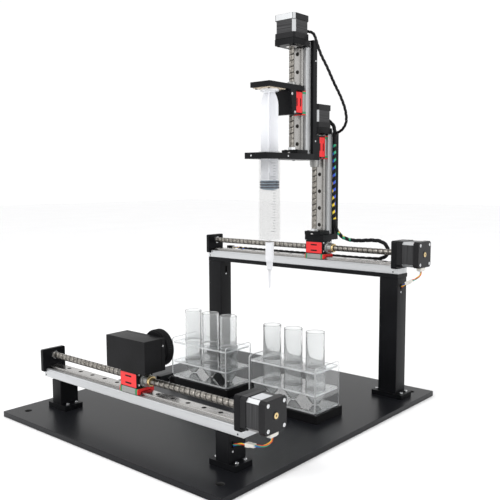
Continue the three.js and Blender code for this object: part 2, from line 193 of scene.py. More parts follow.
# Painted highlight: the acrylic's polished cut edges and hole walls get a whitish half-opaque colour for
# the bright light along them.
ACRYLIC_EDGE_HIGHLIGHT = finish_of("acrylic_edge_painted_highlight", (0.86, 0.88, 0.89), (0.95, 0.97, 0.98), (0.08, 0.2),
                         bump=0.02, fixed={"Alpha": 0.5})
TUBE_CLEAR = finish_of("clear_tube", (0.92, 0.93, 0.93), (0.95, 0.96, 0.96), (0.04, 0.1), bump=0.04,
                       fixed={"Transmission Weight": 0.86, "IOR": 1.16})
# Painted shade: a grey half-opaque band for the grey line that the clear tube's wall shows at its top rim.
TUBE_RIM_SHADE = finish_of("tube_rim_painted_shade", (0.3, 0.31, 0.31), (0.4, 0.41, 0.41), (0.1, 0.2), bump=0.04,
                     fixed={"Alpha": 0.6})
FROSTED = finish_of("frosted_barrel", (0.28, 0.28, 0.27), (0.34, 0.34, 0.33), (0.3, 0.4),
                    fixed={"Alpha": 0.095})
MILKY = finish_of("milky_plunger", (0.84, 0.85, 0.88), (0.9, 0.91, 0.94), (0.28, 0.4),
                  fixed={"Transmission Weight": 0.15, "IOR": 1.45})
GLASS = finish_of("lens_glass", (0.01, 0.012, 0.02), (0.02, 0.022, 0.035), (0.02, 0.05), bump=0.0,
                  fixed={"Coat Weight": 1.0})
TICK = finish_of("printed_ticks", (0.14, 0.15, 0.17), (0.2, 0.21, 0.23), (0.45, 0.6))


def laminations():
    """Stacked steel sheets: fine dark and light lines across the motor's own X."""
    material, tree, shader = new_material("motor_laminations")
    shader.inputs["Metallic"].default_value = 0.55
    lines = noise(tree, 900, (1, 0.01, 0.01), detail=1)
    sheets = colours(tree, lines, (0.012, 0.012, 0.013), (0.05, 0.05, 0.052))
    tree.links.new(sheets, shader.inputs["Base Color"])
    tree.links.new(spread_over(tree, lines, 0.3, 0.44), shader.inputs["Roughness"])
    grain(tree, shader, lines, 0.4, 0.0001)
    return material


LAMINATION = laminations()


# ---------------------------------------------------------------- shapes, in millimetres
def around(middle, size):
    return middle - size / 2, middle + size / 2


def corners(reach_x, reach_y, at=(0, 0)):
    """Four points, one each way from the middle."""
    return [(at[0] + sx * reach_x, at[1] + sy * reach_y) for sx in (-1, 1) for sy in (-1, 1)]


def rounded(width, height, radius, at=(0, 0), steps=5):
    """A rectangle with round corners, counter-clockwise."""
    points = []
    for corner, (sx, sy) in enumerate(((1, 1), (-1, 1), (-1, -1), (1, -1))):
        cx, cy = at[0] + sx * (width / 2 - radius), at[1] + sy * (height / 2 - radius)
        for i in range(steps + 1):
            angle = math.radians(90 * corner + 90 * i / steps)
            points.append((cx + radius * math.cos(angle), cy + radius * math.sin(angle)))
    return points


def polygon(radius, sides, at=(0, 0), start=0.0):
    return [(at[0] + radius * math.cos(start + 2 * math.pi * i / sides),
             at[1] + radius * math.sin(start + 2 * math.pi * i / sides)) for i in range(sides)]


# Turns that carry a prism's or lathe's own Z to the named axis; its X and Y become the two others.
TO = {
    "z": Matrix.Identity(4),
    "x": Matrix(((0, 0, 1, 0), (1, 0, 0, 0), (0, 1, 0, 0), (0, 0, 0, 1))),
    "y": Matrix(((1, 0, 0, 0), (0, 0, 1, 0), (0, -1, 0, 0), (0, 0, 0, 1))) @ Matrix.Diagonal((1, -1, 1, 1)),
}


class Shape:
    """A mesh in the making, in millimetres, with its materials."""

    def __init__(self):
        self.bm = bmesh.new()
        self.materials = []

    def index(self, material):
        if material not in self.materials:
            self.materials.append(material)
        return self.materials.index(material)

    def add(self, points, faces, material, turn=Matrix.Identity(4)):
        verts = [self.bm.verts.new(turn @ Vector(p)) for p in points]
        slot = self.index(material)
        made = []
        for face in faces:
            made.append(self.bm.faces.new([verts[i] for i in face]))
            made[-1].material_index = slot
        if turn.determinant() < 0:
            bmesh.ops.reverse_faces(self.bm, faces=made)
        return self

    def prism(self, outline, low, high, material, axis="z", edge=None, place=Matrix.Identity(4)):
        """A solid between two heights. Its narrow sides may have a material of their own."""
        n = len(outline)
        points = [(x, y, low) for x, y in outline] + [(x, y, high) for x, y in outline]
        faces = [tuple(reversed(range(n))), tuple(range(n, 2 * n))]
        faces += [(i, (i + 1) % n, n + (i + 1) % n, n + i) for i in range(n)]
        self.add(points, faces, material, place @ TO[axis])
        if edge:
            slot = self.index(edge)
            self.bm.faces.ensure_lookup_table()
            for face in self.bm.faces[-n:]:
                face.material_index = slot
        return self

    def box(self, x, y, z, material):
        return self.prism([(x[0], y[0]), (x[1], y[0]), (x[1], y[1]), (x[0], y[1])], z[0], z[1], material)

    def lathe(self, profile, material, at=(0, 0, 0), axis="z", sides=40, start=0.0):
        """Turns [radius, height] points round the axis. A profile that closes on itself makes a ring."""
        ring = profile[0] == profile[-1]
        profile = profile[:-1] if ring else profile
        points, rows = [], []
        for radius, height in profile:
            if radius == 0:
                rows.append([len(points)] * sides)
                points.append((0, 0, height))
                continue
            rows.append(list(range(len(points), len(points) + sides)))
            points += [(*p, height) for p in polygon(radius, sides, start=start)]
        faces = []
        for k in range(len(rows) if ring else len(rows) - 1):
            a, b = rows[k], rows[(k + 1) % len(rows)]
            for i in range(sides):
                j = (i + 1) % sides
                face = list(dict.fromkeys((a[i], a[j], b[j], b[i])))
                if len(face) > 2:
                    faces.append(face)
        return self.add(points, faces, material, Matrix.Translation(at) @ TO[axis])

    def rod(self, radius, low, high, material, at=(0, 0), axis="z", sides=32, chamfer=0.3):
        """A solid rod along the axis, at its two other coordinates in x, y, z order."""
        c = min(chamfer, radius / 2, (high - low) / 3)
        profile = [(0, low), (radius - c, low), (radius, low + c), (radius, high - c), (radius - c, high),
                   (0, high)]
        place = {"x": (0, *at), "y": (at[0], 0, at[1]), "z": (*at, 0)}[axis]
        return self.lathe(profile, material, place, axis, sides)

    def cap_screw(self, at, axis, radius=2.7, height=2.0, material=ZINC, outwards=1):
        """A socket head: its seat is at the point, and the head stands out along the axis."""
        r, h, s = radius, height * outwards, radius * 0.52
        profile = [(0, h * 0.45), (s, h * 0.45), (s, h), (r * 0.86, h), (r, h * 0.8), (r, 0), (0, 0)]
        self.lathe(profile, material, at, axis, 18)
        return self

    def to_object(self, name):
        mesh = bpy.data.meshes.new(name)
        bmesh.ops.recalc_face_normals(self.bm, faces=self.bm.faces)
        self.bm.to_mesh(mesh)
        for material in self.materials:
            mesh.materials.append(material)
        made = bpy.data.objects.new(name, mesh)
        bpy.context.collection.objects.link(made)
        return made

    def cut(self, cutter):
        """Takes another shape's volume out of this one."""
        target, tool = self.to_object("target"), cutter.to_object("tool")
        modifier = target.modifiers.new("cut", "BOOLEAN")
        modifier.object = tool
        modifier.solver = "EXACT"
        modifier.material_mode = "TRANSFER"
        depsgraph = bpy.context.evaluated_depsgraph_get()
        mesh = bpy.data.meshes.new_from_object(target.evaluated_get(depsgraph))
        self.materials = list(mesh.materials)
        self.bm.free()
        self.bm = bmesh.new()
        self.bm.from_mesh(mesh)
        for made in (target, tool):
            data = made.data
            bpy.data.objects.remove(made)
            bpy.data.meshes.remove(data)
        bpy.data.meshes.remove(mesh)
        return self


def loose_piece(shape, name, slot, replaces=(), smooth=60):
    """Turns a shape into a Blender piece in metres, with no body yet."""
    bmesh.ops.transform(shape.bm, matrix=Matrix.Diagonal((MM, MM, MM, 1)), verts=shape.bm.verts)
    made = shape.to_object(name)
    shape.bm.free()
    made.data.polygons.foreach_set("use_smooth", [True] * len(made.data.polygons))
    made.data.set_sharp_from_angle(angle=math.radians(smooth))
    if replaces:
        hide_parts(*replaces)
    return made


def piece(shape, name, body, slot, replaces=(), place=Matrix.Identity(4), bevel=0.35, smooth=32):
    """Turns a shape into a Blender piece on a body, at a place in the row frame."""
    bmesh.ops.remove_doubles(shape.bm, verts=shape.bm.verts, dist=MERGE)
    made = loose_piece(shape, name, slot, replaces, smooth)
    if bevel:
        modifier = made.modifiers.new("edges", "BEVEL")
        modifier.width = bevel * MM
        modifier.segments = 2
        modifier.limit_method = "ANGLE"
        modifier.angle_limit = math.radians(40)
        modifier.use_clamp_overlap = True
        modifier.harden_normals = True
    made.matrix_world = place
    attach(made, body)
    return made


# ---------------------------------------------------------------- the four ball-screw stages
PROFILE = {"width": 30, "height": 13.4, "floor": 8.7, "groove": 18.6, "groove_floor": 10.8}
RAIL = {"width": 18, "foot": 11.1, "top": 18.1, "pitch": 30, "bore": 3.2, "bore_depth": 3.4}
AXIS_HEIGHT = 34
END_PLATE, MOTOR_PLATE = 6, 10
MOTOR = {"side": 42.3, "length": 40, "front": 9, "rear_from": 29.5, "screw_pitch": 31}
BLOCK = {"length": 40, "width": 31, "foot": 14, "top": 23.1, "cap": 3.8, "seal": 1.6}
CARRIAGE = {"length": 36.6, "width": 30, "foot": 23.4, "top": 47}
LEAD = 10
NUT_SCREWS = 12.4 * 0.72 * math.sqrt(0.5)


class Stage:
    """One stage's sizes and place.

    Its own frame has x along the travel, y across and z up from the profile's back.
    """

    def __init__(self, prefix, upright, fixed, screw, moving, nut_side, thread, end_width, end_top):
        low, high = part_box(f"{prefix}_profile")
        block_low, block_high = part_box(f"{prefix}_block")
        middle = (block_low + block_high) / 2
        self.prefix, self.fixed, self.screw, self.moving = prefix, fixed, screw, moving
        self.upright = upright
        self.nut_side, self.thread, self.end_width, self.end_top = nut_side, thread, end_width, end_top
        if upright:
            turn = Matrix(((0, -1, 0, 0), (0, 0, -1, 0), (1, 0, 0, 0), (0, 0, 0, 1)))
            corner = Vector(((low.x + high.x) / 2, high.y, low.z))
            self.length, self.centre = (high.z - low.z) / MM, (middle.z - low.z) / MM
        else:
            turn = Matrix.Identity(4)
            corner = Vector((low.x, (low.y + high.y) / 2, low.z))
            self.length, self.centre = (high.x - low.x) / MM, (middle.x - low.x) / MM
        self.place = Matrix.Translation(corner) @ turn

    def piece(self, shape, part, body, slot, replaces=True, **options):
        nodes = (f"{self.prefix}_{part}",) if replaces else ()
        return piece(shape, f"{self.prefix}_{part}_{'detail' if replaces else 'trim'}", body, slot, nodes,
                     self.place, **options)


def make_profile(stage):
    half, top = PROFILE["width"] / 2, PROFILE["height"]
    groove, floor = PROFILE["groove"] / 2, PROFILE["groove_floor"]
    right = [(half - 0.7, 0), (half, 0.7), (half, 10.6), (half - 0.35, 10.8), (half - 0.35, 11.4),
             (half, 11.6), (half, top - 0.5), (half - 0.5, top), (groove + 0.3, top), (groove, top - 0.3),
             (groove, floor)]
    outline = right + [(-x, z) for x, z in reversed(right)]
    shape = Shape().prism(outline, 0, stage.length, SILVER, "x")
    ends = Shape()
    across, upwards = (-30, 30), (PROFILE["floor"], 30)
    ends.box((-1, END_PLATE + ROOM), across, upwards, SILVER)
    ends.box((stage.length - MOTOR_PLATE - ROOM, stage.length + 1), across, upwards, SILVER)
    shape.cut(ends)
    holes = Shape()
    for x in (5, stage.length - 9):
        for z in (3.4, 9.2):
            for side in (-1, 1):
                # The cut leaves these hole walls in near-black painted shade.
                holes.rod(1.25, *sorted((side * 13.2, side * 16)), PAINTED_SHADE, (x, z), "y", 14)
    shape.cut(holes)
    stage.piece(shape, "profile", stage.fixed, "silver_aluminium", bevel=0.25)


def rail_holes(stage):
    start, end = END_PLATE + 2 * ROOM, stage.length - MOTOR_PLATE - 2 * ROOM
    count = math.floor((end - start - RAIL["pitch"] / 2) / RAIL["pitch"]) + 1
    first = (start + end - (count - 1) * RAIL["pitch"]) / 2
    return start, end, [first + i * RAIL["pitch"] for i in range(count)]


def make_rail(stage):
    start, end, holes = rail_holes(stage)
    half, foot, top = RAIL["width"] / 2, RAIL["foot"], RAIL["top"]
    right = [(half - 0.3, foot), (half - 0.3, foot + 2.2), (half - 1.5, foot + 3.1),
             (half - 1.5, foot + 4.4), (half, foot + 5.2), (half, top - 0.7), (half - 0.7, top)]
    shape = Shape().prism(right + [(-y, z) for y, z in reversed(right)], start, end, STEEL, "x")
    bores = Shape()
    heads = Shape()
    seat, bore, rim = top - RAIL["bore_depth"], RAIL["bore"] - 0.1, RAIL["bore"] + 0.3
    hole = [(0, seat), (bore, seat), (bore, top - 0.5), (rim, top + 0.1), (rim, top + 2), (0, top + 2)]
    for x in holes:
        # The bore walls take near-black painted shade, and the screw heads sunk in them take the dark steel
        # painted shade.
        bores.lathe(hole, PAINTED_SHADE, (x, 0, 0), "z", 28)
        heads.cap_screw((x, 0, seat), "z", 2.6, 2.3, STEEL_SHADE)
    shape.cut(bores)
    stage.piece(shape, "rail", stage.fixed, "steel", bevel=0.2)
    stage.piece(heads, "rail_screws", stage.fixed, "steel", replaces=False, bevel=0)


def plate_with_bore(low, high, width, top, corner, bores):
    """A plate across the stage. Each bore is a radius and the stretch of X that it takes."""
    foot = PROFILE["floor"] + ROOM
    outline = rounded(width, top - foot, corner, (0, (top + foot) / 2))
    shape = Shape().prism(outline, low, high, BLACK, "x")
    holes = Shape()
    for radius, start, end in bores:
        holes.rod(radius, start, end, BLACK, (0, AXIS_HEIGHT), "x", 32, 0)
    return shape.cut(holes)


def make_plates(stage):
    bores = [(4.6, -1, 12), (7.6, -1, 2.5)]
    end = plate_with_bore(0, END_PLATE, stage.end_width, stage.end_top, 2.5, bores)
    end.lathe([(4.5, 2.5), (7.4, 2.5), (7.4, 0.6), (6.9, 0.3), (4.8, 0.3), (4.5, 0.6), (4.5, 2.5)], STEEL,
              (0, 0, AXIS_HEIGHT), "x", 36)
    reach = stage.end_width / 2 - 5.5
    for y in (-reach, reach):
        end.cap_screw((END_PLATE, y, stage.end_top - 5.5), "x", 2.2, 0.9, BLACK)
        end.cap_screw((0.2, y, 14.5), "x", 2.4, 0.2, ZINC, -1)
    stage.piece(end, "end_plate", stage.fixed, "black_aluminium", bevel=0.45)
    face = stage.length - MOTOR_PLATE
    bores = [(4.6, face - 1, stage.length + 1)]
    motor = plate_with_bore(face, stage.length, 42, AXIS_HEIGHT + 21, 3.2, bores)
    motor.lathe([(4.7, -0.2), (9.5, -0.2), (9.5, -0.8), (9, -1.2), (5.2, -1.2), (4.7, -0.8), (4.7, -0.2)],
                STEEL, (face, 0, AXIS_HEIGHT), "x", 36)
    reach = MOTOR["screw_pitch"] / 2
    for y, z in corners(reach, reach, (0, AXIS_HEIGHT)):
        motor.cap_screw((face, y, z), "x", 2.6, 1.3, BLACK, -1)
    stage.piece(motor, "motor_plate", stage.fixed, "black_aluminium", bevel=0.45)


def square_with_chamfers(side, chamfer):
    a, b = side / 2, side / 2 - chamfer
    return [(b, -a), (a, -b), (a, b), (b, a), (-b, a), (-a, b), (-a, -b), (-b, -a)]


def motor_shell(shape, side, chamfer, low, high, flat, corner):
    """A square prism round the motor's axis whose four chamfers have their own material."""
    outline = [(y, z + AXIS_HEIGHT) for y, z in square_with_chamfers(side, chamfer)]
    shape.prism(outline, low, high, flat, "x")
    shape.bm.faces.ensure_lookup_table()
    for face in shape.bm.faces[-len(outline):][::2]:
        face.material_index = shape.index(corner)


def make_motor(stage):
    start = stage.length + ROOM
    side, rear = MOTOR["side"], MOTOR["length"] - 0.9
    shape = Shape()
    front_end, rear_start = start + MOTOR["front"], start + MOTOR["rear_from"]
    rear_corner = SILVER if stage.prefix == "doser" else MOTOR_BELL
    motor_shell(shape, side, 3.2, start, front_end, MOTOR_BELL, MOTOR_BELL)
    motor_shell(shape, side - 1.4, 4.6, front_end + 0.05, rear_start - 0.05, LAMINATION, SILVER)
    motor_shell(shape, side, 3.4, rear_start, start + rear, MOTOR_BELL, rear_corner)
    at = (start + rear, 0, AXIS_HEIGHT)
    shape.lathe([(0, -0.2), (6.2, -0.2), (6.2, 0.2), (5.4, 0.5), (0, 0.5)], MOTOR_BELL, at, "x", 36)
    boss = [(1.3, 0.3), (4.0, 0.3), (4.0, 0.8), (3.6, 0.9), (1.3, 0.9), (1.3, 0.3)]
    shape.lathe(boss, BRASS, at, "x", 28)
    half = MOTOR["screw_pitch"] / 2
    for y, z in corners(half, half, (0, AXIS_HEIGHT)):
        # A near-black disc behind each screw head: painted shade in its counterbore.
        shape.lathe([(0, -0.4), (3.3, -0.4), (3.3, 0.1), (3.0, 0.15), (0, 0.15)], PAINTED_SHADE,
                    (start + rear, y, z), "x", 24)
        shape.cap_screw((start + rear + 0.1, y, z), "x", 2.7, 0.8)
    stage.piece(shape, "motor", stage.fixed, "motor_case", bevel=0.3)
    socket = Shape()
    low = AXIS_HEIGHT - side / 2 - 6.3
    socket.prism(rounded(8, 16, 0.8, (start + 33, 0)), low + 1.4, low + 6.25, CREAM)
    socket.prism(rounded(6.4, 13, 0.6, (start + 33, 0)), low + 0.1, low + 1.5, WHITE_LABEL)
    stage.piece(socket, "motor_socket", stage.fixed, "white_plastic", replaces=False, bevel=0.2)


def make_screw(stage):
    """The thread is one helical groove with the lead's pitch, then a plain journal at each end."""
    start, end = END_PLATE + 2 * ROOM + 4, stage.length - MOTOR_PLATE - 2 * ROOM
    radius, depth, half_width, sides, step = stage.thread, 0.5, 0.13, 28, 0.7
    plain = 14.0 if stage.upright else 0.0
    count = int((end - start) / step)

    def threaded(x):
        return start + plain < x < end - 3

    shape = Shape()
    # The groove faces take the darker steel of painted shade; the lands keep the rolled steel.
    groove, land = shape.index(STEEL_SHADE), shape.index(THREAD)
    rings = []
    for k in range(count + 1):
        x = start + (end - start) * k / count
        ring = []
        for i in range(sides):
            angle = 2 * math.pi * i / sides
            phase = (x / LEAD - i / sides + 0.5) % 1 - 0.5
            dip = max(0.0, 1 - (phase / half_width) ** 2) if threaded(x) else 0.0
            r = radius - depth * math.sqrt(dip)
            point = (x, r * math.cos(angle), AXIS_HEIGHT + r * math.sin(angle))
            ring.append(shape.bm.verts.new(point))
        rings.append((x, ring))
    for (x, a), (_, b) in zip(rings, rings[1:]):
        for i in range(sides):
            face = shape.bm.faces.new((a[i], b[i], b[(i + 1) % sides], a[(i + 1) % sides]))
            phase = ((x + step / 2) / LEAD - (i + 0.5) / sides + 0.5) % 1 - 0.5
            cut = abs(phase) < half_width * 0.9 and threaded(x)
            face.material_index = groove if cut else land
    shape.bm.faces.new(reversed(rings[0][1])).material_index = land
    shape.bm.faces.new(rings[-1][1]).material_index = land
    at = (0, AXIS_HEIGHT)
    shape.rod(3.9, ROOM, start - 0.05, THREAD, at, "x")
    shape.rod(3.9, end + 0.05, stage.length - ROOM, THREAD, at, "x")
    nut = END_PLATE + 2 * ROOM
    shape.lathe([(4.0, nut), (6.9, nut), (6.9, nut + 3.9), (4.0, nut + 3.9), (4.0, nut)], ZINC,
                (0, 0, AXIS_HEIGHT), "x", 6, math.radians(stage.length))
    stage.piece(shape, "screw", stage.screw, "steel", bevel=0, smooth=50)


def make_block(stage):
    c, half = stage.centre, BLOCK["length"] / 2
    width, foot, top = BLOCK["width"] / 2, BLOCK["foot"], BLOCK["top"]
    slot = RAIL["width"] / 2 + ROOM

    def section(inset):
        w, t = width - inset, top - inset
        right = [(w, foot + inset + 0.8), (w, t - 1.6), (w - 1.2, t)]
        left = [(-y, z) for y, z in reversed(right)]
        inner = [(-w + 0.8, foot + inset), (-slot, foot + inset), (-slot, RAIL["top"] + ROOM),
                 (slot, RAIL["top"] + ROOM), (slot, foot + inset), (w - 0.8, foot + inset)]
        return right + left + inner

    body = half - BLOCK["cap"] - BLOCK["seal"]
    shape = Shape().prism(section(0), c - body, c + body, BLOCK_STEEL, "x")
    for side in (-1, 1):
        cap = sorted((c + side * (body + 0.05), c + side * (half - BLOCK["seal"] - 0.05)))
        seal = sorted((c + side * (half - BLOCK["seal"]), c + side * half))
        shape.prism(section(0.25), *cap, GREEN, "x")
        shape.prism(section(0.45), *seal, RED, "x")
        for y in (-12.4, 12.4):
            shape.cap_screw((c + side * (half - 0.9), y, 18.2), "x", 1.7, 0.85, ZINC, side)
        shape.cap_screw((c + side * (half - 0.9), 0, 20.6), "x", 1.2, 0.85, ZINC, side)
    stage.piece(shape, "block", stage.moving, "steel", bevel=0.25)


def add_ball_nut(shape, stage, face):
    """Flange, body and end ring, each as heights along X out of the carriage's face and radii."""
    side, inner = stage.nut_side, stage.thread + 0.6
    ring = BLOCK_STEEL if stage.upright else BRASS
    turned = [(0.1, 4, 10.3, 0.4, BLOCK_STEEL), (4.05, 12.4, 8.3, 0, BLOCK_STEEL),
              (12.45, 15.9, 7.4, 0.5, ring)]
    for low, high, radius, chamfer, material in turned:
        profile = [(inner, low), (radius, low), (radius, high - chamfer), (radius - chamfer, high),
                   (inner, high), (inner, low)]
        profile = list(dict.fromkeys(profile)) + profile[:1]
        shape.lathe([(r, h * side) for r, h in profile], material, (face, 0, AXIS_HEIGHT), "x", 40)
    for y, z in corners(NUT_SCREWS, NUT_SCREWS, (0, AXIS_HEIGHT)):
        shape.cap_screw((face + 3.9 * side, y, z), "x", 1.3, 0.9, ZINC, side)


def make_carriage(stage):
    c, half = stage.centre, CARRIAGE["length"] / 2
    foot, top = CARRIAGE["foot"], CARRIAGE["top"]
    outline = rounded(CARRIAGE["length"], CARRIAGE["width"], 1.4, (c, 0))
    shape = Shape().prism(outline, foot, top, BLACK)
    # The screw's bore through the carriage is walled in near-black painted shade.
    bore = Shape().rod(stage.thread + 0.6, c - 40, c + 40, PAINTED_SHADE, (0, AXIS_HEIGHT), "x", 28, 0)
    side = stage.nut_side
    face, far = c + side * half, c - side * half
    bore.rod(7.4, *sorted((far - side, far + side * 2.2)), BLACK, (0, AXIS_HEIGHT), "x", 32, 0)
    shape.cut(bore)
    add_ball_nut(shape, stage, face)
    for y, z in corners(11, 7.5, (0, 35.5)):
        shape.cap_screw((face - 0.3 * side, y, z), "x", 1.8, 0.8, ZINC, side)
    stage.piece(shape, "carriage", stage.moving, "black_aluminium", bevel=0.45)
    label = Shape()
    edge, middle = -CARRIAGE["width"] / 2, (foot + top) / 2 - 1
    for y, sign in ((edge, -1), (-edge, 1)):
        low, high = sorted((y + 0.02 * sign, y + 0.16 * sign))
        label.prism(rounded(34, 19.6, 1.2, (c, middle)), low, high, RED_LABEL, "y")
        low, high = sorted((y + 0.2 * sign, y + 0.4 * sign))
        for z in (-5, 5):
            label.prism(rounded(13, 2.2, 0.5, (c, middle + z)), low, high, BLACK, "y")
    stage.piece(label, "carriage_label", stage.moving, "black_plastic", replaces=False, bevel=0)


STAGES = {
    "gantry": Stage("gantry", False, "base", "gantry_screw", "gantry_carriage", 1, 5.0, 42, 45),
    "front": Stage("front", False, "base", "front_screw", "camera", 1, 5.0, 42, 45),
    "tower": Stage("tower", True, "gantry_carriage", "tower_screw", "tool", -1, 4.5, 34, 41),
    "doser": Stage("doser", True, "tool", "doser_screw", "plunger", 1, 4.5, 34, 41),
}
for each_stage in STAGES.values():
    make_profile(each_stage)
    make_rail(each_stage)
    make_plates(each_stage)
    make_motor(each_stage)
    make_screw(each_stage)
    make_block(each_stage)
    make_carriage(each_stage)


# ---------------------------------------------------------------- helpers for the single pieces
def box_mm(node):
    low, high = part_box(node)
    return low / MM, high / MM


def slab(node, material, corner=1.0):
    """A round-cornered plate that fills a CAD node's box, seen from above."""
    low, high = box_mm(node)
    size, middle = high - low, (low + high) / 2
    return Shape().prism(rounded(size.x, size.y, corner, (middle.x, middle.y)), low.z, high.z, material)


# ---------------------------------------------------------------- base plate, posts and beam
def make_base():
    low, high = box_mm("base_plate")
    shape = slab("base_plate", PLATE, 2.5)
    holes = Shape()
    for x in (low.x + 28, high.x - 28):
        for y in (low.y + 28, high.y - 28):
            # The corner holes' walls take near-black painted shade.
            holes.lathe([(0, -2), (5, -2), (5, high.z - 0.8), (5.8, high.z + 0.05), (5.8, high.z + 3),
                         (0, high.z + 3)], PAINTED_SHADE, (x, y, 0), "z", 36)
    piece(shape.cut(holes), "base_plate_detail", "base", "black_aluminium", ["base_plate"], bevel=0.8)


def make_post(node, column, depth, foot_height, slot=None):
    """A column on a foot. The slot, as its middle's y and z and its half width, is in the +X face."""
    low, high = box_mm(node)
    x, y = (low.x + high.x) / 2, (low.y + high.y) / 2
    shape = Shape().prism(rounded(column, depth, 1.0, (x, y)), low.z + foot_height + 0.02, high.z, BLACK)
    if slot:
        across, up, half = slot
        outline = rounded(2 * half, 4.4 * half, half * 0.98, (across, up))
        # The slot's walls take near-black painted shade.
        shape.cut(Shape().prism(outline, x + column / 2 - 3, x + column / 2 + 1, PAINTED_SHADE, "x"))
    shape.prism(rounded(high.x - low.x, high.y - low.y, 1.6, (x, y)), low.z, low.z + foot_height, BLACK)
    ear = (high.x - low.x + column) / 4
    for side in (-1, 1):
        for across in (-8, 8):
            shape.cap_screw((x + side * ear, y + across, low.z + foot_height), "z", 2.9, 2.2, ZINC)
    if slot:
        shape.cap_screw((x + column / 2 - 0.1, slot[0], slot[1] - 9), "x", 1.5, 0.5, ZINC)
    piece(shape, f"{node}_detail", "base", "black_aluminium", [node], bevel=0.6)


def make_beam():
    low, high = box_mm("gantry_beam")
    top = box_mm("gantry_profile")[0].z - ROOM
    back = box_mm("gantry_profile")[1].y + ROOM
    beam = Shape().box((low.x, high.x), (low.y, back + 2), (low.z, top), BLACK)
    inset = END_PLATE + 2
    tray = (low.x + inset, high.x - MOTOR_PLATE - 2)
    beam.box(tray, (back + 0.01, back + 2), (top + 0.01, high.z - 2), BLACK)
    beam.box(tray, (back + 0.01, high.y), (high.z - 1.99, high.z), BLACK)
    for k in range(6):
        x = low.x + 40 + k * (high.x - low.x - 80) / 5
        beam.cap_screw((x, back + 2, top + 4), "y", 2.2, 1.6, ZINC)
    piece(beam, "gantry_beam_detail", "base", "black_aluminium", ["gantry_beam"], bevel=0.4)


make_base()
FRONT_COLUMN, REAR_COLUMN, FOOT_HEIGHT = (23, 32.6), (33.5, 30.6), 8
make_post("front_post_left", *FRONT_COLUMN, FOOT_HEIGHT)
make_post("front_post_right", *FRONT_COLUMN, FOOT_HEIGHT, (-198, 39.5, 2.2))
make_post("rear_post_left", *REAR_COLUMN, FOOT_HEIGHT, (203, 192, 3.0))
make_post("rear_post_right", *REAR_COLUMN, FOOT_HEIGHT, (199.5, 195, 2.4))
make_beam()


# ---------------------------------------------------------------- brackets, tool plate and arm
def make_tower_bracket():
    low, high = box_mm("tower_bracket")
    back = 11.7
    shape = Shape()
    side = [(low.y, low.z), (high.y, low.z), (high.y, high.z), (high.y - back, high.z),
            (high.y - back, low.z + 10), (low.y, low.z + 10)]
    shape.prism([(y, z) for y, z in side], low.x, high.x, BLACK, "x")
    groove = Shape()
    for x in (low.x, high.x):
        groove.box(around(x, 1.4), around(high.y - back / 2, 2.4), (low.z + 16, high.z + 1), BLACK)
    shape.cut(groove)
    for z in (low.z + 40, low.z + 95, low.z + 150):
        for x in (low.x + 10, high.x - 10):
            shape.cap_screw((x, high.y - 0.6, z), "y", 3.0, 0.6, ZINC)
    for x in (low.x + 8, high.x - 8):
        shape.cap_screw((x, low.y + 6, low.z + 10), "z", 2.6, 2.4, ZINC)
    piece(shape, "tower_bracket_detail", "gantry_carriage", "black_aluminium", ["tower_bracket"], bevel=0.5)


def make_tool_plate():
    low, high = box_mm("tool_plate")
    front = low.y + 11
    side = [(low.y, low.z), (high.y, low.z), (high.y, low.z + 42.3), (front, low.z + 42.3), (front, high.z),
            (low.y, high.z)]
    shape = Shape().prism(side, low.x, high.x, BLACK, "x")
    for z in (low.z + 32, high.z - 34):
        shape.cap_screw((high.x - 0.1, low.y + 6.6, z), "x", 1.7, 0.7, ZINC)
    for z in (low.z + 60, low.z + 110, low.z + 160):
        for x in (low.x + 10, high.x - 10):
            shape.cap_screw((x, front, z), "y", 2.6, 1.8, ZINC)
    piece(shape, "tool_plate_detail", "tool", "black_aluminium", ["tool_plate"], bevel=0.5)


def make_arm():
    low, high = box_mm("syringe_arm")
    barrel_low, barrel_high = box_mm("syringe_barrel")
    at = ((barrel_low.x + barrel_high.x) / 2, (barrel_low.y + barrel_high.y) / 2)
    shape = slab("syringe_arm", BLACK, 1.0)
    shape.cut(Shape().rod(18.3, low.z - 1, high.z + 1, BLACK, at, "z", 64, 0))
    shape.cap_screw((at[0] - 9, low.y + 0.1, (low.z + high.z) / 2), "y", 1.5, 0.5, ZINC, -1)
    shape.cap_screw((high.x - 0.1, at[1] + 20, (low.z + high.z) / 2), "x", 1.6, 0.5, ZINC)
    for x in (low.x + 8, high.x - 8):
        shape.cap_screw((x, high.y - 8, low.z + 0.1), "z", 2.6, 1.4, ZINC, -1)
    piece(shape, "syringe_arm_detail", "tool", "black_aluminium", ["syringe_arm"], bevel=0.5)


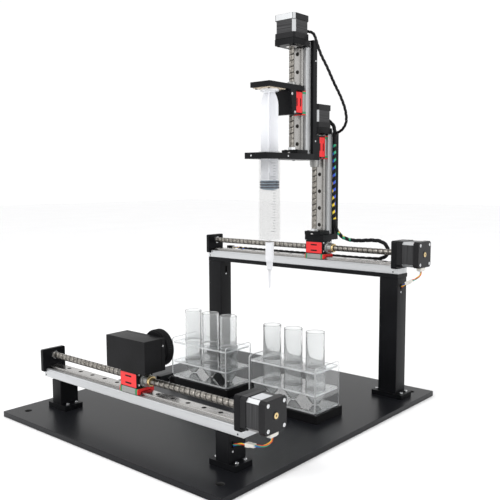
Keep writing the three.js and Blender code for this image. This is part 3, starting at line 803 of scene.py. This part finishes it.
def make_plunger_bracket():
    low, high = box_mm("plunger_bracket")
    carriage_low, _ = box_mm("doser_carriage")
    plate_foot = high.z - 8.5
    middle = (low.x + high.x) / 2
    shape = Shape().box((low.x, high.x), (low.y, high.y), (plate_foot, high.z), BLACK)
    shape.cut(Shape().rod(10.9, plate_foot - 2, high.z + 1, BLACK, (middle, high.y - 9.4), "z", 40, 0))
    leg = carriage_low.y - ROOM
    gusset = [(leg - 9.2, low.z), (leg, low.z), (leg, plate_foot - 0.01), (leg - 16, plate_foot - 0.01)]
    shape.prism([(y, z) for y, z in gusset], low.x, high.x, BLACK, "x")
    for y, z in ((leg - 12, plate_foot - 7), (leg - 4, low.z + 4)):
        shape.cap_screw((high.x - 0.1, y, z), "x", 2.3, 0.9, ZINC)
    for x in (low.x + 9, high.x - 9):
        shape.cap_screw((x, leg - 6, low.z + 8), "y", 2.4, 1.6, ZINC, -1)
    piece(shape, "plunger_bracket_detail", "plunger", "black_aluminium", ["plunger_bracket"], bevel=0.5)
    keeper = Shape()
    outline = rounded(34, 42, 1.2, (middle, low.y + 24))
    keeper.prism(outline, plate_foot - 1.7, plate_foot - 0.2, TAN)
    plunger_low, plunger_high = box_mm("plunger_rod")
    centre = ((plunger_low.x + plunger_high.x) / 2, (plunger_low.y + plunger_high.y) / 2)
    keeper.cut(Shape().rod(11.2, plate_foot - 4, plate_foot + 1, TAN, centre, "z", 40, 0))
    for x in (-13, 13):
        for y in (-17, 17):
            # The screw heads under the keeper are near-black painted shade.
            keeper.cap_screw((middle + x, low.y + 24 + y, plate_foot - 1.7), "z", 1.9, 1.2, PAINTED_SHADE, -1)
    piece(keeper, "plunger_keeper", "plunger", "white_plastic", bevel=0.2)


make_tower_bracket()
make_tool_plate()
make_arm()
make_plunger_bracket()


# ---------------------------------------------------------------- syringe
def syringe_axis():
    low, high = box_mm("syringe_barrel")
    return (low.x + high.x) / 2, (low.y + high.y) / 2


BARREL = {"shoulder": 272.2, "marks": 26, "first_mark": 288, "mark_pitch": 4.4, "mark_radius": 17.97}


def make_barrel():
    low, high = box_mm("syringe_barrel")
    x, y = syringe_axis()
    shoulder, rim = BARREL["shoulder"], high.z
    profile = [(2.3, low.z), (4.4, low.z), (4.9, shoulder - 3.2), (9, shoulder - 2.2),
               (15.4, shoulder - 0.6), (17.4, shoulder + 1.2), (17.9, shoulder + 3.4), (17.9, rim - 2.4),
               (18, rim - 2), (18, rim), (16.3, rim), (16.3, shoulder + 4.2), (15.4, shoulder + 2.6),
               (8, shoulder + 1),
               (2.3, shoulder + 0.2), (2.3, low.z)]
    shape = Shape().lathe(profile, FROSTED, (x, y, 0), "z", 72)
    piece(shape, "syringe_barrel_detail", "tool", "frosted_plastic", ["syringe_barrel"], bevel=0, smooth=40)


def make_ticks():
    """Plain printed marks round a quarter of the barrel, long ones every fifth."""
    x, y = syringe_axis()
    shape = Shape()
    middle, radius, steps = math.radians(-18), BARREL["mark_radius"], 6
    for k in range(BARREL["marks"]):
        z, reach = BARREL["first_mark"] + BARREL["mark_pitch"] * k, 26 if k % 5 == 0 else 14
        points = []
        for height in (z - 0.28, z + 0.28):
            for i in range(steps + 1):
                angle = middle - math.radians(reach) * (i / steps)
                points.append((x + radius * math.cos(angle), y + radius * math.sin(angle), height))
        n = steps + 1
        shape.add(points, [(i, i + 1, n + i + 1, n + i) for i in range(steps)], TICK)
    made = piece(shape, "barrel_ticks", "tool", "frosted_plastic", bevel=0)
    thick = made.modifiers.new("ink", "SOLIDIFY")
    thick.thickness = 0.00006
    thick.offset = 1


def make_tip():
    low, _ = box_mm("syringe_tip")
    x, y = syringe_axis()
    end = low.z
    profile = [(0.8, end), (1.5, end), (2.1, 221), (3.2, 223), (5.0, 224.4), (5.3, 235.6), (6.5, 237.2),
               (6.7, 240), (6.7, 252), (6.95, 254), (6.95, 268.7), (5.5, 268.7), (5.3, 253.2), (0.8, 253.2),
               (0.8, end)]
    shape = Shape().lathe(profile, MILKY, (x, y, 0), "z", 40)
    for k in range(12):
        angle = 2 * math.pi * k / 12
        turn = Matrix.Translation((x, y, 0)) @ Matrix.Rotation(angle, 4, "Z")
        rib = [(6.6, -0.5), (7.0, -0.3), (7.0, 0.3), (6.6, 0.5)]
        shape.prism(rib, 241.5, 251, MILKY, place=turn)
    piece(shape, "syringe_tip_detail", "tool", "white_plastic", ["syringe_tip"], bevel=0, smooth=40)


def make_plunger():
    low, high = box_mm("plunger_rod")
    x, y = syringe_axis()
    shape = Shape()
    cap, neck = high.z - 4.5, high.z - 26.5
    half, shoulder, thick = 14.4, 9.0, 1.9
    blade = [(-half, low.z), (half, low.z), (half, neck)]
    for t in (0.25, 0.5, 0.75, 1.0):
        blade.append((half - 5.4 * (1 - math.cos(math.pi * t / 2)), neck + 20 * t))
    blade += [(-px, pz) for px, pz in reversed(blade[2:])]
    for degrees in (30, 120):
        place = Matrix.Translation((x, y, 0)) @ Matrix.Rotation(math.radians(degrees), 4, "Z")
        shape.prism(blade, -thick / 2, thick / 2, MILKY, "y", place=place)
    shape.rod(half - 0.2, low.z + 0.1, low.z + 1.7, MILKY, (x, y), "z", 56)
    shape.lathe([(0, cap - 2.5), (shoulder, cap - 2.5), (shoulder + 0.4, cap), (15, cap), (15.4, cap + 0.5),
                 (15.4, high.z - 0.6), (14.8, high.z), (0, high.z)], MILKY, (x, y, 0), "z", 56)
    piece(shape, "plunger_rod_detail", "plunger", "frosted_plastic", ["plunger_rod"], bevel=0.25)


def make_stopper():
    low, high = box_mm("plunger_stopper")
    x, y = syringe_axis()
    bottom, top = low.z, high.z
    rim, core, ribs = 15.85, 14.6, 3
    at = (x, y, 0)
    cone = [(0, bottom), (6, bottom + 0.4), (12, bottom + 1.6), (core, bottom + 3), (core, top), (0, top)]
    shape = Shape().lathe(cone, PALE_RUBBER, at, "z", 64)
    pitch = (top - bottom - 3) / ribs
    for k in range(ribs):
        z = bottom + 3 + k * pitch + 0.2
        end = z + pitch * 0.7
        ring = [(core + 0.02, z), (rim - 0.3, z), (rim, z + 0.4), (rim, z + pitch * 0.6), (rim - 0.3, end),
                (core + 0.02, end), (core + 0.02, z)]
        shape.lathe(ring, RUBBER, at, "z", 64)
    piece(shape, "plunger_stopper_detail", "plunger", "rubber", ["plunger_stopper"], bevel=0, smooth=40)


make_barrel()
make_ticks()
make_tip()
make_plunger()
make_stopper()


# ---------------------------------------------------------------- camera case and lens
def make_camera_case():
    low, high = box_mm("camera_body")
    size, middle = high - low, (low + high) / 2
    shape = Shape().prism(rounded(size.x, size.z, 1.8, (middle.x, middle.z)), low.y, high.y, PLASTIC, "y")
    seam = Shape()
    frame_outer = rounded(size.x + 2, size.z + 2, 1.8, (middle.x, middle.z))
    seam.prism(frame_outer, high.y - 7.2, high.y - 6.6, PLASTIC, "y")
    frame_inner = rounded(size.x - 0.9, size.z - 0.9, 1.4, (middle.x, middle.z))
    core = Shape().prism(frame_inner, high.y - 9, high.y - 5, PLASTIC, "y")
    shape.cut(seam.cut(core))
    for x, z in corners(size.x / 2 - 5, size.z / 2 - 5, (middle.x, middle.z)):
        shape.cap_screw((x, high.y - 0.1, z), "y", 1.5, 0.3, BLACK)
    shape.cap_screw((high.x - 0.2, high.y - 4, high.z - 11), "x", 1.5, 0.4, ZINC)
    piece(shape, "camera_body_detail", "camera", "black_plastic", ["camera_body"], bevel=0.7)


def make_lens():
    low, high = box_mm("camera_lens")
    centre = ((low.x + high.x) / 2, 0, (low.z + high.z) / 2)
    y0, y1 = low.y, high.y
    shape = Shape()
    barrel = [(0, y0), (24, y0), (24, y0 + 2), (26.2, y0 + 2.4), (26.2, y1 - 2.2), (26.9, y1 - 1.8),
              (26.9, y1 - 0.4), (26.4, y1), (21.2, y1), (20.2, y1 - 1), (19.8, y0 + 7.4), (0, y0 + 7.4)]
    shape.lathe(barrel, PLASTIC, centre, "y", 72)
    for k in range(60):
        turn = Matrix.Translation(centre) @ Matrix.Rotation(2 * math.pi * k / 60, 4, "Y")
        rib = [(26.1, -0.55), (26.85, -0.3), (26.85, 0.3), (26.1, 0.55)]
        shape.prism(rib, y0 + 3.4, y1 - 3.2, PLASTIC, "y", place=turn)
    glass = [(0, 7.5), (14.5, 7.5), (14.5, 8), (12, 8.9), (6, 9.5), (0, 9.7)]
    shape.lathe([(r, y0 + h) for r, h in glass], GLASS, centre, "y", 48)
    foot, top = y0 + 7.45, y0 + 8.1
    for r in (15.2, 17.4):
        ring = [(r, foot), (r + 0.8, foot), (r + 0.8, top), (r, top), (r, foot)]
        shape.lathe(ring, BLACK, centre, "y", 48)
    piece(shape, "camera_lens_detail", "camera", "black_plastic", ["camera_lens"], bevel=0, smooth=35)


def make_thumb_screw():
    """A knurled knob on a lug behind the carriage, facing the motor."""
    _, high = box_mm("front_carriage")
    y, z = high.y + 16, 87
    shape = Shape().prism(rounded(9, 25.5, 1.0, (high.x - 5, high.y + 13)), z - 5.5, z + 5.5, BLACK)
    shape.lathe([(0, -0.4), (2.2, -0.4), (2.2, 2), (4.6, 6), (0, 6)], ZINC, (high.x, y, z), "x", 24)
    shape.rod(5.2, high.x + 6.05, high.x + 17.5, PLASTIC, (y, z), "x", 18, 0.8)
    piece(shape, "focus_thumb_screw", "camera", "black_plastic", bevel=0.25)


make_camera_case()
make_lens()
make_thumb_screw()


# ---------------------------------------------------------------- racks and tubes
RACK = {"width": 132, "depth": 63, "wall": 3, "shelves": (51, 85.5), "pitch": 42.3, "hole": 15.6}


def make_rack(side):
    low, high = box_mm(f"rack_{side}")
    x, y = (low.x + high.x) / 2, (low.y + high.y) / 2
    wall, width, depth = RACK["wall"], RACK["width"], RACK["depth"]
    shape = Shape()
    inner = width - 2 * wall - 0.1
    # The narrow sides, the hole walls and the end plates' edges take the whitish painted highlight.
    shape.prism(rounded(inner, depth - 0.6, 2.5, (x, y)), low.z, low.z + wall, ACRYLIC, edge=ACRYLIC_EDGE_HIGHLIGHT)
    shelf = rounded(inner, depth - 0.6, 4, (x, y))
    for height in RACK["shelves"]:
        shape.prism(shelf, height - wall, height, ACRYLIC, edge=ACRYLIC_EDGE_HIGHLIGHT)
    holes = Shape()
    for column in (-1, 0, 1):
        for height in RACK["shelves"]:
            at = (x + column * RACK["pitch"], y)
            holes.rod(RACK["hole"], height - wall - 1, height + 1, ACRYLIC_EDGE_HIGHLIGHT, at, "z", 56, 0)
    shape.cut(holes)
    tall = high.z - low.z
    for end in (-1, 1):
        face = sorted((x + end * width / 2, x + end * (width / 2 - wall)))
        shape.prism(rounded(depth, tall, 5, (y, (low.z + high.z) / 2)), *face, ACRYLIC, "x", ACRYLIC_EDGE_HIGHLIGHT)
    piece(shape, f"rack_{side}_detail", "base", "clear_acrylic", [f"rack_{side}"])
    base = slab(f"rack_base_{side}", PLASTIC, 2.0)
    base_top = box_mm(f"rack_base_{side}")[1].z
    for screw_x, screw_y in corners(width / 2 + 0.5, depth / 2 + 0.6, (x, y)):
        base.cap_screw((screw_x, screw_y, base_top - 0.2), "z", 1.4, 0.3)
    piece(base, f"rack_base_{side}_detail", "base", "black_plastic", [f"rack_base_{side}"], bevel=0.6)


def make_tube(side, number):
    node = f"tube_{side}_{number}"
    low, high = box_mm(node)
    at = ((low.x + high.x) / 2, (low.y + high.y) / 2, low.z)
    length = high.z - low.z
    profile = [(0, 0), (3.4, 0), (4.2, 0.5), (14.5, 15.2), (14.7, 16.6), (14.7, length - 4),
               (14.8, length - 3.4), (14.8, length - 0.5), (14.5, length), (13.7, length),
               (13.4, length - 0.6), (13.4, 16.4),
               (13.1, 15.4), (3.2, 1.9), (2.6, 1.5), (0, 1.4)]
    shape = Shape().lathe(profile, TUBE_CLEAR, at, "z", 56)
    # The faces at the top rim take the grey painted shade.
    for face in shape.bm.faces:
        if face.calc_center_median().z > high.z - 0.8:
            face.material_index = shape.index(TUBE_RIM_SHADE)
    piece(shape, f"{node}_detail", node, "frosted_plastic", [node], bevel=0, smooth=35)


for rack_side in ("left", "right"):
    make_rack(rack_side)
    for tube_number in (1, 2, 3):
        make_tube(rack_side, tube_number)


# ---------------------------------------------------------------- cables
# Routes in millimetres in the row frame, as in the CAD.
CARRIAGE_ROUTE = [
    (-176, 228.5, 233.4), (0, 228.5, 233.4), (130, 228.5, 233.5), (151, 228.5, 235.2), (162, 228.5, 241),
    (165.5, 228.5, 250), (161.5, 228.5, 259), (151, 228.5, 264.8), (134, 228.5, 266), (108, 228.5, 264),
    (90, 227, 264.5), (76, 222, 270), (67.5, 217, 283), (64, 214.5, 305), (63.6, 214, 360),
    (63.6, 214, 420), (63.2, 214.8, 440), (62.6, 216.5, 455), (58.3, 217.8, 466.5), (50, 217.6, 474),
    (42.5, 215.6, 479), (39.3, 214.2, 484.5), (39, 214, 489.6),
]
TOOL_ROUTE = [
    (39, 146.3, 630.7), (39.2, 146.5, 628), (41.3, 147.6, 623.8), (47, 149.8, 620.3), (55, 150.8, 618),
    (63, 149, 614), (70, 145.5, 605.5), (76, 143.2, 593), (81.5, 145.5, 577), (88, 154, 557),
    (94, 167, 531), (101, 177, 508), (104, 186, 487), (100.5, 194, 469), (88, 201, 457),
    (72.5, 206, 451.5),
]
# Where the carriage cable's sleeve lets the wires show.
OPEN_UP_THE_TOWER = (300, 432)
OPEN_AT_THE_BEND = (70, 92)
BEND_HEIGHT = 262
OPEN_ON_THE_SHELF = -150


def smooth_path(route, step):
    """A centripetal Catmull-Rom curve through the route, as evenly spaced points."""
    points = [Vector(p) for p in route]
    points = [2 * points[0] - points[1]] + points + [2 * points[-1] - points[-2]]
    fine = []
    for p0, p1, p2, p3 in zip(points, points[1:], points[2:], points[3:]):
        t1 = (p1 - p0).length ** 0.5
        t2 = t1 + (p2 - p1).length ** 0.5
        t3 = t2 + (p3 - p2).length ** 0.5
        for k in range(40):
            t = t1 + (t2 - t1) * k / 40
            a1 = p0.lerp(p1, t / t1)
            a2 = p1.lerp(p2, (t - t1) / (t2 - t1))
            a3 = p2.lerp(p3, (t - t2) / (t3 - t2))
            fine.append(a1.lerp(a2, t / t2).lerp(a2.lerp(a3, (t - t1) / (t3 - t1)), (t - t1) / (t2 - t1)))
    fine.append(points[-2])
    path, walked, wanted = [fine[0]], 0.0, step
    for a, b in zip(fine, fine[1:]):
        length = (b - a).length
        while length > 0 and walked + length >= wanted:
            path.append(a.lerp(b, (wanted - walked) / length))
            wanted += step
        walked += length
    if (path[-1] - fine[-1]).length > step / 4:
        path.append(fine[-1])
    return path


def frames_along(path):
    """A direction and two cross axes at each point, without twist."""
    frames = []
    across = None
    for i, point in enumerate(path):
        ahead = (path[min(i + 1, len(path) - 1)] - path[max(i - 1, 0)]).normalized()
        if across is None:
            across = ahead.orthogonal().normalized()
        across = (across - across.dot(ahead) * ahead).normalized()
        frames.append((point, across, ahead.cross(across)))
    return frames


def sweep(shape, path, radius_at, sides, material_at):
    """A closed tube along the path; radius and material depend on the distance along and the angle."""
    rings, along, distances = [], 0.0, []
    previous = path[0]
    for point, u, v in frames_along(path):
        along += (point - previous).length
        previous = point
        distances.append(along)
        ring = []
        for i in range(sides):
            angle = 2 * math.pi * i / sides
            outwards = math.cos(angle) * u + math.sin(angle) * v
            ring.append(shape.bm.verts.new(point + radius_at(along, angle) * outwards))
        rings.append(ring)
    for k in range(len(rings) - 1):
        middle = (distances[k] + distances[k + 1]) / 2
        for i in range(sides):
            j = (i + 1) % sides
            face = shape.bm.faces.new((rings[k][i], rings[k][j], rings[k + 1][j], rings[k + 1][i]))
            face.material_index = shape.index(material_at(middle, 2 * math.pi * (i + 0.5) / sides))
    for ring, at in ((rings[0], distances[0]), (rings[-1], distances[-1])):
        shape.bm.faces.new(ring).material_index = shape.index(material_at(at, 0.0))


def add_wire(shape, path, radius, material):
    sweep(shape, path, lambda along, angle: radius, 8, lambda along, angle: material)


def total(path):
    return sum((b - a).length for a, b in zip(path, path[1:]))


def wrapped_cable(path, radius, pitch, shows):
    """Spiral wrap over a bundle of wires. shows(distance) says where the wires show between its turns."""
    def phase(along, angle):
        return (along / pitch - angle / (2 * math.pi)) % 1

    def radius_at(along, angle):
        return radius if phase(along, angle) < 0.62 else radius - 0.45

    def material_at(along, angle):
        if phase(along, angle) < 0.62 or not shows(along):
            return SLEEVE
        return WIRES[int(along / 60 + angle / (2 * math.pi) * 3) % 3]

    shape = Shape()
    shape.index(SLEEVE)
    sweep(shape, path, radius_at, 20, material_at)
    return shape


def make_carriage_cable():
    path = smooth_path(CARRIAGE_ROUTE, 1.1)
    reach = []
    walked = 0.0
    for a, b in zip(path, path[1:]):
        walked += (b - a).length
        reach.append((walked, b))

    def shows(along):
        at = min(reach, key=lambda item: abs(item[0] - along))[1]
        tower = OPEN_UP_THE_TOWER[0] < at.z < OPEN_UP_THE_TOWER[1]
        bend = OPEN_AT_THE_BEND[0] < at.x < OPEN_AT_THE_BEND[1] and at.z > BEND_HEIGHT
        return tower or bend or at.x < OPEN_ON_THE_SHELF

    shape = wrapped_cable(path, 3.4, 13, shows)
    plug = Shape()
    end = Vector(CARRIAGE_ROUTE[0])
    plug.prism(rounded(14, 9, 1.0, (end.x - 22, end.y)), end.z - 4.2, end.z + 4.2, PLASTIC)
    plug.prism(rounded(4, 7, 0.8, (end.x - 13.5, end.y)), end.z - 3, end.z + 3, CREAM)
    for k, material in enumerate(WIRES):
        offset = Vector((0, -2.4 + 1.6 * k, 0.6 if k % 2 else -0.6))
        line = [end + Vector((2, 0, 0)) + offset * 0.6, end + Vector((-4, 0, 1.6)) + offset,
                end + Vector((-8, 0, 1.2)) + offset, end + Vector((-14, 0, 0)) + offset * 0.9]
        add_wire(plug, smooth_path(line, 1.2), 0.65, material)
    plug_piece = piece(plug, "harness_plug", "base", "black_plastic", bevel=0.25, smooth=50)
    boot = Shape()
    top = Vector(CARRIAGE_ROUTE[-1])
    boot.lathe([(0, -16), (3.7, -16), (3.9, -8), (4.6, -2), (4.6, 0.2), (0, 0.2)], SLEEVE, top, "z", 28)
    boot_piece = piece(boot, "tower_lead_boot", "gantry_carriage", "cable_sleeve", bevel=0.2)
    cable = loose_piece(shape, "carriage_cable_detail", "cable_sleeve", ["carriage_cable"])
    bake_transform(cable)
    total(path) * MM


def make_tool_cable():
    path = smooth_path(TOOL_ROUTE, 1.1)
    shape = wrapped_cable(path, 2.5, 9, lambda along: False)
    boot = Shape()
    start = Vector(TOOL_ROUTE[0])
    boot.lathe([(0, 0.2), (3.4, 0.2), (3.4, -1.6), (2.8, -5), (2.6, -7), (0, -7)], SLEEVE, start, "z", 28)
    boot_piece = piece(boot, "doser_lead_boot", "tool", "cable_sleeve", bevel=0.2)
    tie = Shape()
    end = Vector(TOOL_ROUTE[-1])
    tie.lathe([(3.75, -2.2), (4.5, -1.8), (4.5, 1.8), (3.75, 2.2), (3.75, -2.2)], PLASTIC,
              (end.x - 9.6, end.y + 9.6, end.z - 2), "z", 28)
    tie_piece = piece(tie, "cable_tie", "gantry_carriage", "cable_sleeve", bevel=0.2)
    cable = loose_piece(shape, "tool_cable_detail", "cable_sleeve", ["tool_cable"])
    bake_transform(cable)
    total(path) * MM


make_carriage_cable()
make_tool_cable()


def make_lead(name, route, split):
    """A motor's four wires, a plug half way, then the wires into the post."""
    path = smooth_path(route, 0.9)
    shape = Shape()
    for k in range(4):
        strand = []
        for i, (point, u, v) in enumerate(frames_along(path)):
            angle = 2 * math.pi * (k / 4 + i / 46)
            strand.append(point + 0.95 * (math.cos(angle) * u + math.sin(angle) * v))
        add_wire(shape, strand, 0.58, WIRES[(k + 1) % len(WIRES)])
    plug = Shape()
    spot = Vector(split)
    index = min(range(len(path)), key=lambda i: (path[i] - spot).length)
    ahead = (path[min(index + 3, len(path) - 1)] - path[max(index - 3, 0)]).normalized()
    turn = Matrix.Translation(path[index]) @ ahead.to_track_quat("Z", "Y").to_matrix().to_4x4()
    for low, high, width, height in ((-7, 4.2, 7, 4.4), (0, 6.4, 7.8, 5.2)):
        plug.prism(rounded(width, height, 0.8), low, high, CREAM, place=turn)
    plug_piece = piece(plug, f"{name}_plug", "base", "white_plastic", bevel=0.25)
    lead = loose_piece(shape, name, "cable_sleeve", smooth=180)
    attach(lead, "base")
    total(path) * MM


FRONT_LEAD = [(247, -189, 61.2), (247, -191, 56), (242, -196, 51), (230, -200, 49), (212, -200, 46.5),
              (200, -199, 43), (191.5, -198, 39.5)]
GANTRY_LEAD = [(240.4, 203, 222.7), (240.4, 201, 217), (235, 198, 211), (226, 196, 206), (215, 198, 199.5),
               (208, 199.5, 195)]
make_lead("front_motor_lead", FRONT_LEAD, (222, -200, 48))
make_lead("gantry_motor_lead", GANTRY_LEAD, (224, 196.5, 205))


def make_labels():
    """Blank stickers on the front motor's top and on the doser motor's rear bell."""
    front = STAGES["front"]
    start = front.length + ROOM
    top = AXIS_HEIGHT + (MOTOR["side"] - 1.4) / 2
    shape = Shape().prism(rounded(17, 22, 0.8, (start + 19.5, -3)), top - 0.02, top + 0.12, WHITE_LABEL)
    front.piece(shape, "motor_sticker", "base", "white_plastic", replaces=False, bevel=0)
    doser = STAGES["doser"]
    start = doser.length + ROOM
    face = AXIS_HEIGHT + MOTOR["side"] / 2
    shape = Shape().prism(rounded(9, 34, 0.5, (start + 34.3, 0)), face - 0.02, face + 0.12, SILVER)
    doser.piece(shape, "motor_sticker", "tool", "silver_aluminium", replaces=False, bevel=0)


make_labels()


# ---------------------------------------------------------------- floor and light
def make_floor_and_sky():
    floor_material, tree, shader = new_material("pale_floor")
    clouds = noise(tree, 3)
    pale = colours(tree, clouds, (0.93, 0.93, 0.935), (0.955, 0.955, 0.96))
    tree.links.new(pale, shader.inputs["Base Color"])
    shader.inputs["Roughness"].default_value = 0.6
    shader.inputs["Specular IOR Level"].default_value = 0.2
    mesh = bpy.data.meshes.new("floor")
    half, drop = 9.0, -0.0006
    points = [(-half, -half, drop), (half, -half, drop), (half, half, drop), (-half, half, drop)]
    mesh.from_pydata(points, [], [(0, 1, 2, 3)])
    mesh.materials.append(floor_material)
    floor = bpy.data.objects.new("floor", mesh)
    bpy.context.collection.objects.link(floor)
    world = bpy.data.worlds.new("studio")
    world.use_nodes = True
    bpy.context.scene.world = world
    background = world.node_tree.nodes["Background"]
    background.inputs["Color"].default_value = (1, 1, 1, 1)
    background.inputs["Strength"].default_value = 1.03


def add_light(name, at, aim, size, power):
    light = bpy.data.lights.new(name, "AREA")
    light.shape = "RECTANGLE"
    light.size, light.size_y = size
    light.energy = power
    lamp = bpy.data.objects.new(name, light)
    lamp.location = at
    lamp.rotation_mode = "QUATERNION"
    lamp.rotation_quaternion = (Vector(aim) - Vector(at)).to_track_quat("-Z", "Y")
    bpy.context.collection.objects.link(lamp)


make_floor_and_sky()
add_light("key_softbox", (-0.6, -1.9, 1.9), (0, 0, 0.25), (1.4, 1.4), 30)
add_light("right_softbox", (2.2, 0.1, 1.3), (0, 0, 0.25), (1.0, 1.6), 12)
bpy.context.scene.view_settings.view_transform = "Standard"
